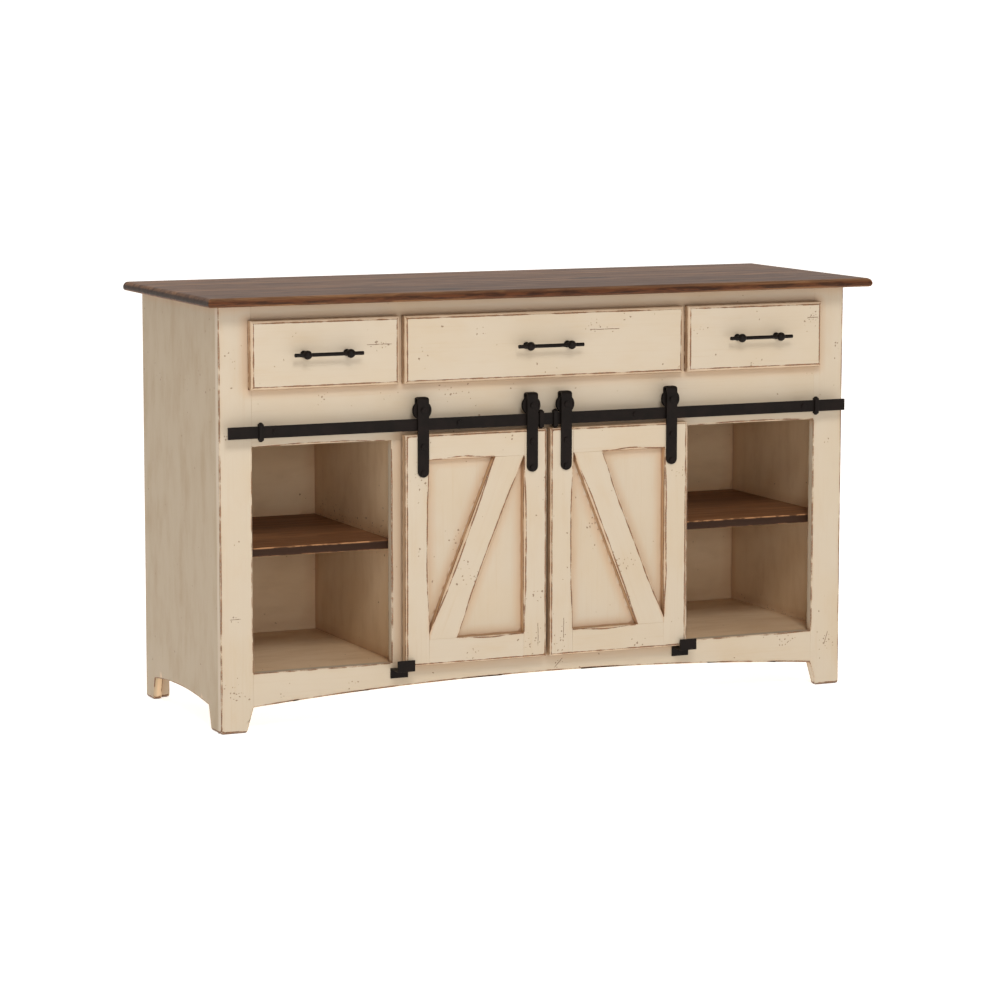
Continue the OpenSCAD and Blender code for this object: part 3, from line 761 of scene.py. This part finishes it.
class Finish:
    """A material under construction, with short names for the nodes it uses."""

    def __init__(self, name):
        self.material = bpy.data.materials.new(name)
        self.material.use_nodes = True
        self.tree = self.material.node_tree
        self.tree.nodes.clear()
        self.shader = self.tree.nodes.new("ShaderNodeBsdfPrincipled")
        out = self.tree.nodes.new("ShaderNodeOutputMaterial")
        self.tree.links.new(self.shader.outputs[0], out.inputs[0])

    def feed(self, socket, value):
        """Links a socket to the input, or sets its value; None leaves it alone."""
        if isinstance(value, bpy.types.NodeSocket):
            self.tree.links.new(value, socket)
        elif value is not None:
            socket.default_value = value

    def set(self, name, value):
        self.feed(self.shader.inputs[name], value)

    def measure(self, name):
        node = self.tree.nodes.new("ShaderNodeAttribute")
        node.attribute_name = name
        return node.outputs["Vector" if name in VECTORS else "Fac"]

    def object_place(self):
        return self.tree.nodes.new("ShaderNodeTexCoord").outputs["Object"]

    def vector_math(self, kind, a, b=None):
        node = self.tree.nodes.new("ShaderNodeVectorMath")
        node.operation = kind
        self.feed(node.inputs[0], a)
        self.feed(node.inputs[1], b)
        return node

    def scaled(self, vector, by):
        return self.vector_math("MULTIPLY", vector, by).outputs[0]

    def add(self, vector, other):
        return self.vector_math("ADD", vector, other).outputs[0]

    def length(self, vector):
        return self.vector_math("LENGTH", vector).outputs["Value"]

    def parts(self, vector):
        node = self.tree.nodes.new("ShaderNodeSeparateXYZ")
        self.feed(node.inputs[0], vector)
        return node.outputs

    def whole(self, x, y, z):
        node = self.tree.nodes.new("ShaderNodeCombineXYZ")
        for socket, value in zip(node.inputs, (x, y, z)):
            self.feed(socket, value)
        return node.outputs[0]

    def noise(self, vector, scale, detail=2.0, rough=0.5, distort=0.0, colour=False):
        node = self.tree.nodes.new("ShaderNodeTexNoise")
        self.feed(node.inputs["Vector"], vector)
        for name, value in (("Scale", scale), ("Detail", detail),
                            ("Roughness", rough), ("Distortion", distort)):
            self.feed(node.inputs[name], value)
        return node.outputs["Color" if colour else 0]

    def cells(self, vector, scale):
        node = self.tree.nodes.new("ShaderNodeTexVoronoi")
        node.voronoi_dimensions = "2D"
        self.feed(node.inputs["Vector"], vector)
        self.feed(node.inputs["Scale"], scale)
        return node.outputs["Distance"], node.outputs["Color"]

    def random(self, value):
        node = self.tree.nodes.new("ShaderNodeTexWhiteNoise")
        node.noise_dimensions = "1D"
        self.feed(node.inputs["W"], value)
        return node.outputs["Value"]

    def math(self, kind, a, b=None, c=None, clamp=False):
        node = self.tree.nodes.new("ShaderNodeMath")
        node.operation = kind
        node.use_clamp = clamp
        for socket, value in zip(node.inputs, (a, b, c)):
            self.feed(socket, value)
        return node.outputs[0]

    def span(self, value, low, high, to_low=0.0, to_high=1.0, smooth=True):
        """Carries the range low..high to to_low..to_high, and holds it beyond."""
        node = self.tree.nodes.new("ShaderNodeMapRange")
        node.interpolation_type = "SMOOTHSTEP" if smooth else "LINEAR"
        for socket, v in zip(node.inputs, (value, low, high, to_low, to_high)):
            self.feed(socket, v)
        return node.outputs[0]

    def blend(self, share, a, b):
        node = self.tree.nodes.new("ShaderNodeMix")
        node.data_type = "RGBA"
        self.feed(node.inputs[0], share)
        self.feed(node.inputs[6], a)
        self.feed(node.inputs[7], b)
        return node.outputs[2]

    def bump(self, height, strength, depth, under=None):
        node = self.tree.nodes.new("ShaderNodeBump")
        node.inputs["Strength"].default_value = strength
        node.inputs["Distance"].default_value = depth
        self.feed(node.inputs["Height"], height)
        self.feed(node.inputs["Normal"], under)
        return node.outputs[0]


OUTSIDE, OUTSIDE_DEEP = srgb(193, 180, 160), srgb(192, 177, 154)
BLOTCH, BRUSH_MARK = srgb(189, 169, 141), srgb(185, 164, 136)
# A lighter, warmer copy of the paint for surfaces facing the inside: painted bounce light in the
# cubbies.
INSIDE_LIT, INSIDE_LIT_DEEP, INSIDE_LIT_BLOTCH = srgb(224, 198, 164), srgb(216, 187, 150), srgb(198, 168, 132)
# The ends' colours are painted shade: the cabinet's ends darker than its front.
ENDS_PAINTED_SHADE, ENDS_SHADE_BLOTCH = srgb(170, 153, 127), srgb(159, 138, 109)
# The lip colour and the haze colour are painted shade: on the sides of doors and drawer fronts,
# and near corners and round the closed doors and drawers.
LIP_PAINTED_SHADE, EDGE_GLAZE, HAZE_PAINTED_SHADE = srgb(178, 138, 98), srgb(190, 156, 118), srgb(188, 142, 98)
# The pooled colour is partly glaze gathered in the corners, partly painted shade there.
POOLED_GLAZE_AND_SHADE, CUT_COAT = srgb(132, 90, 56), srgb(198, 165, 130)
BARE_WOOD, BARE_LIGHT, SOLE_WOOD = srgb(84, 52, 30), srgb(134, 90, 56), srgb(92, 62, 40)
HOLE, SOIL = srgb(96, 67, 46), srgb(166, 134, 98)
# Dots beside a crack: place along its half length, and place across and radius in mm.
CRACK_DOTS = ((-0.3, 5, 1.5), (0.15, 4, 0.9), (-0.65, -4, 1.1), (0.5, -6, 0.8))


def paint_coat(f, grain, inner, blotch, brush):
    """The coat itself: brushed outside, with painted shade darkening the cabinet's ends and
    painted bounce light making the inside lighter and warmer.
    """
    cloud = f.noise(grain, 5, 3)
    colour = f.blend(f.span(cloud, 0.35, 0.68), OUTSIDE, OUTSIDE_DEEP)
    colour = f.blend(f.span(blotch, 0.45, 0.85, 0, 0.5), colour, BLOTCH)
    colour = f.blend(f.span(brush, 0.5, 0.78, 0, 0.28), colour, BRUSH_MARK)
    # Painted bounce light: surfaces inside take a lighter, warmer copy of the paint.
    inside = f.blend(f.span(cloud, 0.3, 0.7), INSIDE_LIT, INSIDE_LIT_DEEP)
    inside = f.blend(f.span(blotch, 0.4, 0.8, 0, 0.5), inside, INSIDE_LIT_BLOTCH)
    # Painted shade: the cabinet's ends take a darker copy of the paint.
    ends = f.blend(f.span(blotch, 0.4, 0.85, 0, 0.6), ENDS_PAINTED_SHADE, ENDS_SHADE_BLOTCH)
    colour = f.blend(f.span(inner, 0, SIDE_SHADE_SHARE, smooth=False), colour, ends)
    return f.blend(f.span(inner, SIDE_SHADE_SHARE, 1, smooth=False), colour, inside)


def glaze_and_painted_shade(f, colour, grain, edge, inner):
    """A thin tan glaze near arrises, which gathers brown in the corners, partly as painted shade;
    painted shade on the lips, near corners and round the closed doors and drawers.
    """
    corner, lip, around = f.measure("corner"), f.measure("lip"), f.measure("around")
    # Painted shade: the sides of doors and drawer fronts darker and warmer.
    colour = f.blend(f.math("MULTIPLY", lip, 0.8), colour, LIP_PAINTED_SHADE)
    ragged = f.noise(grain, 26, 2, 0.5)
    reach = f.span(ragged, 0.3, 0.75, 4 * MM, 14 * MM)
    halo = f.math("SUBTRACT", 1, f.math("DIVIDE", edge, reach), clamp=True)
    colour = f.blend(f.math("MULTIPLY", halo, 0.20), colour, EDGE_GLAZE)
    # Painted shade within 24 mm of a proud board and round the closed doors and drawers.
    corner_shade = f.math("DIVIDE", f.math("MINIMUM", corner, around), 24 * MM)
    corner_shade = f.math("SUBTRACT", 1, corner_shade, clamp=True)
    colour = f.blend(f.math("MULTIPLY", corner_shade, 0.42), colour, HAZE_PAINTED_SHADE)
    # Partly glaze gathered in the corners, partly painted shade there; less of it inside.
    depth = f.span(ragged, 0.25, 0.75, 2.2 * MM, 5 * MM)
    pool = f.math("SUBTRACT", 1, f.math("DIVIDE", corner, depth), clamp=True)
    pool = f.math("MULTIPLY", pool, f.span(inner, 0, 1, 0.75, 0.35))
    return f.blend(pool, colour, POOLED_GLAZE_AND_SHADE)


def worn_arrises(f, colour, grain, edge, bite):
    """Cut and rounded arrises keep a thin tan coat between two broken brown lines."""
    wear, foot = f.measure("wear"), f.measure("foot")
    line = f.math("SUBTRACT", edge, wear)
    cut = f.math("MULTIPLY", f.span(line, 0.2 * MM, -0.8 * MM),
                 f.span(wear, 2.4 * MM, 4.4 * MM, 0.05, 0.42))
    colour = f.blend(cut, colour, CUT_COAT)
    stretch = f.noise(f.scaled(grain, (26, 26, 26)), 1, 2, 0.6)
    half = f.math("ADD", f.span(stretch, 0.34, 0.58, -0.15 * MM, 0.95 * MM),
                  f.math("MULTIPLY", f.math("SUBTRACT", bite, 0.5), 2.2 * MM))
    half = f.math("ADD", half, f.span(wear, 1.4 * MM, 3.2 * MM, 0, 0.60 * MM))
    worn = f.span(f.math("SUBTRACT", half, f.math("ABSOLUTE", line)), -0.1 * MM, 0.3 * MM)
    bare = f.blend(f.span(bite, 0.4, 0.62), BARE_WOOD, BARE_LIGHT)
    colour = f.blend(f.math("MULTIPLY", worn, 0.9), colour, bare)
    sole = f.span(f.math("ADD", foot, f.math("MULTIPLY", bite, 5 * MM)), 8 * MM, 5 * MM)
    return f.blend(f.math("MULTIPLY", sole, 0.9), colour, SOLE_WOOD), worn


def worm_holes(f, grain):
    """Worm holes, thickest in the patches: how strongly they show, and the soil round them."""
    broad, spots = f.measure("broad"), f.measure("spots")
    reachable = f.span(broad, 0.85, 0.97)
    odds = f.math("MULTIPLY", f.math("ADD", f.math("MULTIPLY", spots, 0.5), 0.004), reachable)
    stray = f.scaled(f.noise(grain, 190, 2, colour=True), (6 * MM, 6 * MM, 6 * MM))
    hole_at, hole_id = f.cells(f.add(grain, stray), 150)
    hole_pick = f.parts(hole_id)
    chosen = f.math("LESS_THAN", hole_pick[0], odds)
    size = f.math("MULTIPLY_ADD", f.math("MULTIPLY", hole_pick[1], hole_pick[1]), 0.20, 0.08)
    hole = f.math("MULTIPLY", chosen, f.span(hole_at, f.math("MULTIPLY", size, 1.5), size))
    soil = f.math("MULTIPLY", f.span(hole_at, 0.5, 0.1), f.math("MULTIPLY", chosen, 0.10))
    return f.math("MULTIPLY", hole, 0.68), soil


def crack_marks(f, grain, bite):
    """A board's crack, with a few dots beside it."""
    wander = f.math("MULTIPLY", f.math("SUBTRACT", f.noise(grain, 45, 3), 0.5), 2.4 * MM)
    lie = f.parts(f.measure("mark"))
    crack = f.span(f.math("ABSOLUTE", f.math("ADD", lie[1], wander)), 0.9 * MM, 0.35 * MM)
    past_end = f.math("SUBTRACT", f.math("ABSOLUTE", lie[0]), lie[2])
    crack = f.math("MULTIPLY", crack, f.span(past_end, 0, -3 * MM))
    crack = f.math("MULTIPLY", crack, f.span(bite, 0.36, 0.46, 0.3, 1))
    marks = f.math("MULTIPLY", crack, 0.95)
    for along, across, radius in CRACK_DOTS:
        dot = f.whole(f.math("SUBTRACT", lie[0], f.math("MULTIPLY", lie[2], along)),
                      f.math("SUBTRACT", lie[1], across * MM), 0.0)
        near = f.span(f.length(dot), radius * 1.4 * MM, radius * 0.7 * MM)
        marks = f.math("MAXIMUM", marks, f.math("MULTIPLY", near, 0.75))
    return marks


def cream_paint():
    """Antique cream paint: brushed, glazed brown in the corners and painted shade there, worn
    through at the arrises; painted shade on the ends and round the doors and drawers, painted
    bounce light inside.
    """
    f = Finish("cream_paint")
    grain, edge, inner = f.measure("grain"), f.measure("edge"), f.measure("inner")
    blotch = f.noise(f.scaled(grain, (9, 26, 26)), 1, 4, 0.6)
    brush = f.noise(f.scaled(grain, (5, 190, 190)), 1, 3, 0.65)
    fleck = f.noise(grain, 420, 3, 0.6)
    bite = f.noise(grain, 300, 3, 0.65)

    colour = paint_coat(f, grain, inner, blotch, brush)
    colour = glaze_and_painted_shade(f, colour, grain, edge, inner)
    colour, worn = worn_arrises(f, colour, grain, edge, bite)
    hole, soil = worm_holes(f, grain)
    marks = f.math("MAXIMUM", hole, crack_marks(f, grain, bite))
    colour = f.blend(marks, colour, HOLE)
    f.set("Base Color", f.blend(soil, colour, SOIL))

    f.set("Roughness", f.math("ADD", f.span(blotch, 0.3, 0.8, 0.44, 0.58),
                              f.math("MULTIPLY", worn, 0.14)))
    f.shader.inputs["Specular IOR Level"].default_value = 0.35
    height = f.math("ADD", f.math("MULTIPLY", brush, 0.45), f.math("MULTIPLY", fleck, 0.10))
    height = f.math("SUBTRACT", height, f.math("MULTIPLY", worn, 0.9))
    height = f.math("SUBTRACT", height, f.math("MULTIPLY", marks, 2.2))
    f.set("Normal", f.bump(height, 0.5, 0.35 * MM))
    return f.material


PLANK = 92 * MM         # width of the planks glued up into the worktop and shelves
WALNUT, WALNUT_PALE, WALNUT_RED = srgb(92, 62, 42), srgb(138, 100, 68), srgb(66, 34, 19)
# The shelf colour on the next line is painted light on the shelves' tops.
WALNUT_DARK, SHELF_PAINTED_LIGHT = srgb(58, 30, 18), srgb(160, 110, 72)
PORE, KNOT_AND_SEAM = srgb(26, 13, 8), srgb(24, 12, 7)
SIDE_RED, SIDE_DARK = srgb(88, 50, 28), srgb(44, 23, 13)
END_GRAIN, SHELF_EDGE = srgb(40, 29, 23), srgb(28, 14, 7)
RUBBED, SCRAPED = srgb(128, 76, 46), srgb(184, 136, 96)


def walnut_face(f, grain, shelf):
    """The planks' broad faces. Returns their colour, and the fibres, pores and seams alone."""
    along, across, deep = f.parts(grain)
    shade = f.random(f.math("FLOOR", f.math("DIVIDE", across, PLANK)))
    slide = f.math("MULTIPLY", shade, 7.3)
    place = f.whole(f.math("ADD", along, slide), across, f.math("ADD", deep, slide))
    sway = f.noise(f.scaled(place, (2.2, 9, 9)), 1, 3, 0.55)
    rings = f.noise(f.add(f.scaled(place, (1.6, 62, 62)), f.scaled(
        f.whole(0.0, sway, sway), (0, 7, 7))), 1, 4, 0.6)
    pores = f.noise(f.scaled(place, (38, 900, 900)), 1, 2, 0.6)
    fibre = f.noise(f.scaled(place, (9, 260, 260)), 1, 3, 0.6)

    colour = f.blend(f.span(rings, 0.38, 0.64), WALNUT, WALNUT_PALE)
    colour = f.blend(f.span(fibre, 0.4, 0.7, 0, 0.5), colour, WALNUT_RED)
    colour = f.blend(f.math("MULTIPLY", shade, 0.45), colour, WALNUT_DARK)
    colour = f.blend(f.span(pores, 0.62, 0.78, 0, 0.6), colour, PORE)
    # Painted light: the shelves' tops lighter, standing in for the light and reflection in the
    # cubbies.
    colour = f.blend(f.math("MULTIPLY", shelf, 0.32), colour, SHELF_PAINTED_LIGHT)
    knot_at, knot_id = f.cells(f.scaled(place, (1.5, 4.2, 1)), 1)
    knot = f.math("MULTIPLY", f.math("LESS_THAN", f.parts(knot_id)[0], 0.3),
                  f.span(knot_at, 0.10, 0.02))
    colour = f.blend(f.math("MULTIPLY", knot, 0.85), colour, KNOT_AND_SEAM)
    seam_at = f.math("FRACT", f.math("DIVIDE", across, PLANK))
    seam = f.span(f.math("MINIMUM", seam_at, f.math("SUBTRACT", 1, seam_at)), 0.012, 0.0)
    colour = f.blend(f.math("MULTIPLY", seam, 0.45), colour, KNOT_AND_SEAM)
    return colour, fibre, pores, seam


def walnut_edges(f, colour, grain, shelf):
    """The boards' edges: mottled sides, dark ends, and arrises rubbed or scraped pale."""
    edge, broad, end = f.measure("edge"), f.measure("broad"), f.measure("end")
    mottle = f.noise(f.scaled(grain, (14, 120, 120)), 1, 4, 0.7)
    side = f.blend(f.span(mottle, 0.4, 0.62), SIDE_RED, SIDE_DARK)
    side = f.blend(f.span(end, 0.2, 0.6), side, END_GRAIN)
    side = f.blend(shelf, side, SHELF_EDGE)
    colour = f.blend(f.span(broad, 0.75, 0.25, 0, 0.9), colour, side)
    rubbing = f.noise(f.scaled(grain, (26, 60, 60)), 1, 3, 0.65)
    wear = f.math("MULTIPLY", f.span(edge, 5 * MM, 0), f.span(rubbing, 0.5, 0.7, 0, 0.8))
    wear = f.math("MULTIPLY", wear, f.span(shelf, 0, 1, 1, 0.2))
    wear = f.math("MULTIPLY", wear, f.span(end, 0.1, 0.5, 1, 0.1))
    colour = f.blend(wear, colour, RUBBED)
    scraping = f.noise(f.scaled(grain, (34, 90, 90)), 1, 3, 0.6)
    scrape = f.math("MULTIPLY", f.span(broad, 0.12, 0.4), f.span(broad, 0.99, 0.9))
    scrape = f.math("MULTIPLY", scrape, f.span(scraping, 0.45, 0.58, 0.1, 1))
    return f.blend(f.math("MULTIPLY", scrape, shelf), colour, SCRAPED)


def walnut_stain():
    """Dark walnut stain on edge-glued planks, under satin lacquer."""
    f = Finish("walnut_stain")
    grain, shelf = f.measure("grain"), f.measure("inner")
    colour, fibre, pores, seam = walnut_face(f, grain, shelf)
    f.set("Base Color", walnut_edges(f, colour, grain, shelf))
    f.set("Roughness", f.span(fibre, 0.3, 0.75, 0.50, 0.62))
    f.shader.inputs["Specular IOR Level"].default_value = 0.14
    height = f.math("SUBTRACT", f.math("MULTIPLY", fibre, 0.6), f.math("MULTIPLY", pores, 0.4))
    height = f.math("SUBTRACT", height, f.math("MULTIPLY", seam, 0.8))
    f.set("Normal", f.bump(height, 0.35, 0.25 * MM))
    return f.material


def drawer_wood():
    """Clear lacquered hardwood of the drawer boxes."""
    f = Finish("drawer_wood")
    grain, edge = f.measure("grain"), f.measure("edge")
    rings = f.noise(f.scaled(grain, (2.5, 55, 55)), 1, 4, 0.6, 0.4)
    fibre = f.noise(f.scaled(grain, (20, 600, 600)), 1, 3, 0.6)
    cloud = f.noise(grain, 7, 2)
    colour = f.blend(f.span(rings, 0.35, 0.68), srgb(214, 178, 132), srgb(188, 145, 97))
    colour = f.blend(f.span(fibre, 0.45, 0.75, 0, 0.4), colour, srgb(168, 124, 80))
    colour = f.blend(f.span(cloud, 0.4, 0.7, 0, 0.25), colour, srgb(225, 192, 150))
    colour = f.blend(f.span(edge, 1.5 * MM, 0, 0, 0.3), colour, srgb(160, 118, 78))
    f.set("Base Color", colour)
    f.set("Roughness", f.span(fibre, 0.3, 0.8, 0.38, 0.55))
    f.set("Normal", f.bump(fibre, 0.3, 0.2 * MM))
    return f.material


def black_iron():
    """Powder-coated iron: nearly black, with an orange-peel skin whose high spots are a little
    lighter.
    """
    f = Finish("black_iron")
    place = f.object_place()
    peel = f.noise(place, 900, 2, 0.5)
    cloud = f.noise(place, 35, 3, 0.6)
    colour = f.blend(f.span(cloud, 0.35, 0.7), srgb(17, 12, 9), srgb(25, 18, 15))
    colour = f.blend(f.span(peel, 0.6, 0.8, 0, 0.3), colour, srgb(34, 30, 27))
    f.set("Base Color", colour)
    f.set("Roughness", f.span(cloud, 0.3, 0.75, 0.44, 0.58))
    f.shader.inputs["Specular IOR Level"].default_value = 0.12
    f.set("Normal", f.bump(f.math("ADD", peel, f.math("MULTIPLY", cloud, 0.5)), 0.35, 0.25 * MM))
    return f.material


def slide_steel():
    """Zinc-plated drawer slides and shelf pins, faintly drawn along their length."""
    f = Finish("slide_steel")
    place = f.object_place()
    drawn = f.noise(f.scaled(place, (700, 6, 700)), 1, 2, 0.6)
    cloud = f.noise(place, 28, 3, 0.6)
    colour = f.blend(f.span(cloud, 0.35, 0.7), srgb(186, 188, 190), srgb(160, 163, 168))
    f.set("Base Color", colour)
    f.shader.inputs["Metallic"].default_value = 1.0
    f.set("Roughness", f.span(drawn, 0.3, 0.7, 0.26, 0.44))
    f.set("Normal", f.bump(drawn, 0.2, 0.1 * MM))
    return f.material


def stage_floor():
    """Plain white studio floor that hardly takes a shadow."""
    f = Finish("stage_floor")
    f.set("Base Color", srgb(254, 254, 254))
    f.set("Roughness", 0.85)
    f.shader.inputs["Specular IOR Level"].default_value = 0.1
    f.shader.inputs["Emission Color"].default_value = (1, 1, 1, 1)
    f.shader.inputs["Emission Strength"].default_value = 0.65
    return f.material


# ---------------------------------------------------------------- the sideboard

FINISHES = {
    "cream_paint": cream_paint(),
    "walnut_stain": walnut_stain(),
    "drawer_wood": drawer_wood(),
    "black_iron": black_iron(),
    "slide_steel": slide_steel(),
}
FINE, MEDIUM, COARSE = 10 * MM, 16 * MM, 30 * MM
PITCH = {
    "top_board": MEDIUM, "side_left": MEDIUM, "side_right": MEDIUM,
    "partition_left": MEDIUM, "partition_right": MEDIUM, "bottom_panel": MEDIUM,
    "back_panel": COARSE, "dust_panels": COARSE, "top_stretchers": COARSE,
    "center_shelf": MEDIUM, "cubby_shelves": MEDIUM,
}

for node in WOODEN:
    slot = SLOT_OF[node]
    pitch = PITCH.get(node, FINE if slot == "cream_paint" else COARSE)
    wear = 1.0 if slot == "cream_paint" else 0.6
    wooden_piece(node, FINISHES[slot], pitch, wear)
for node in METAL:
    metal_piece(node, FINISHES[SLOT_OF[node]])

# ---------------------------------------------------------------- stage, light and camera

FLOOR_HALF = 14
SKY_TOWARDS = (0.45, 0.89, 0)       # the white side of the surroundings, behind the sideboard
SKY_TURN = (-0.2, 0.75)             # where the dim side ends and the white side begins
SKY_DIM, SKY_WHITE = (0.34, 0.29, 0.245, 1), (1.12, 1.07, 1.02, 1)
LIGHTS_AIM = (0, 0, 0.5)
LIGHTS = {                          # place, size and watts
    "key": ((-1.45, -6.0, 5.4), (2.3, 1.9), 234),
    "low fill": ((-1.9, -7.56, 1.75), (2.4, 1.4), 79),
}
CAMERA_PLACE = (-3.22493, -7.10630, 1.46444)
CAMERA_YAW, CAMERA_PITCH, CAMERA_ROLL = (math.radians(a) for a in (24.3934, -7.5607, -0.0801))
CAMERA_LENS, CAMERA_SENSOR = 128.642, 36


def make_floor():
    """A flat floor at the sideboard's feet."""
    half = FLOOR_HALF
    mesh = bpy.data.meshes.new("floor")
    mesh.from_pydata([(-half, -half, 0), (half, -half, 0), (half, half, 0), (-half, half, 0)],
                     [], [(0, 1, 2, 3)])
    mesh.materials.append(stage_floor())
    floor = add_object("floor", mesh)


def make_world():
    """Studio surroundings: white behind the sideboard, warm and dimmer in front of it."""
    world = bpy.data.worlds.new("studio")
    bpy.context.scene.world = world
    world.use_nodes = True
    tree = world.node_tree
    tree.nodes.clear()
    place = tree.nodes.new("ShaderNodeTexCoord")
    towards = tree.nodes.new("ShaderNodeVectorMath")
    towards.operation = "DOT_PRODUCT"
    towards.inputs[1].default_value = SKY_TOWARDS
    level = tree.nodes.new("ShaderNodeMapRange")
    level.interpolation_type = "SMOOTHSTEP"
    level.inputs[1].default_value, level.inputs[2].default_value = SKY_TURN
    tint = tree.nodes.new("ShaderNodeMix")
    tint.data_type = "RGBA"
    tint.inputs[6].default_value, tint.inputs[7].default_value = SKY_DIM, SKY_WHITE
    sky = tree.nodes.new("ShaderNodeBackground")
    out = tree.nodes.new("ShaderNodeOutputWorld")
    tree.links.new(place.outputs["Generated"], towards.inputs[0])
    tree.links.new(towards.outputs["Value"], level.inputs[0])
    tree.links.new(level.outputs[0], tint.inputs[0])
    tree.links.new(tint.outputs[2], sky.inputs["Color"])
    tree.links.new(sky.outputs[0], out.inputs[0])


def area_light(name, place, size, watts):
    """A soft rectangular lamp that looks at the middle of the sideboard."""
    lamp = bpy.data.lights.new(name, "AREA")
    lamp.shape = "RECTANGLE"
    lamp.size, lamp.size_y = size
    lamp.energy = watts
    obj = add_object(name, lamp)
    obj.location = place
    obj.rotation_mode = "QUATERNION"
    obj.rotation_quaternion = (Vector(LIGHTS_AIM) - Vector(place)).to_track_quat("-Z", "Y")


def make_camera():
    """The photograph's viewpoint: far off to the left, a little above the top."""
    data = bpy.data.cameras.new("camera")
    data.sensor_width = CAMERA_SENSOR
    data.lens = CAMERA_LENS
    camera = add_object("camera", data)
    forward = Vector((math.sin(CAMERA_YAW) * math.cos(CAMERA_PITCH),
                      math.cos(CAMERA_YAW) * math.cos(CAMERA_PITCH), math.sin(CAMERA_PITCH)))
    camera.rotation_mode = "QUATERNION"
    level = forward.to_track_quat("-Z", "Y")
    camera.rotation_quaternion = level @ Matrix.Rotation(-CAMERA_ROLL, 3, "Z").to_quaternion()
    camera.location = CAMERA_PLACE
    bpy.context.scene.camera = camera


make_floor()
make_world()
for name, (place, size, watts) in LIGHTS.items():
    area_light(name, place, size, watts)
make_camera()
bpy.context.scene.view_settings.view_transform = "Standard"
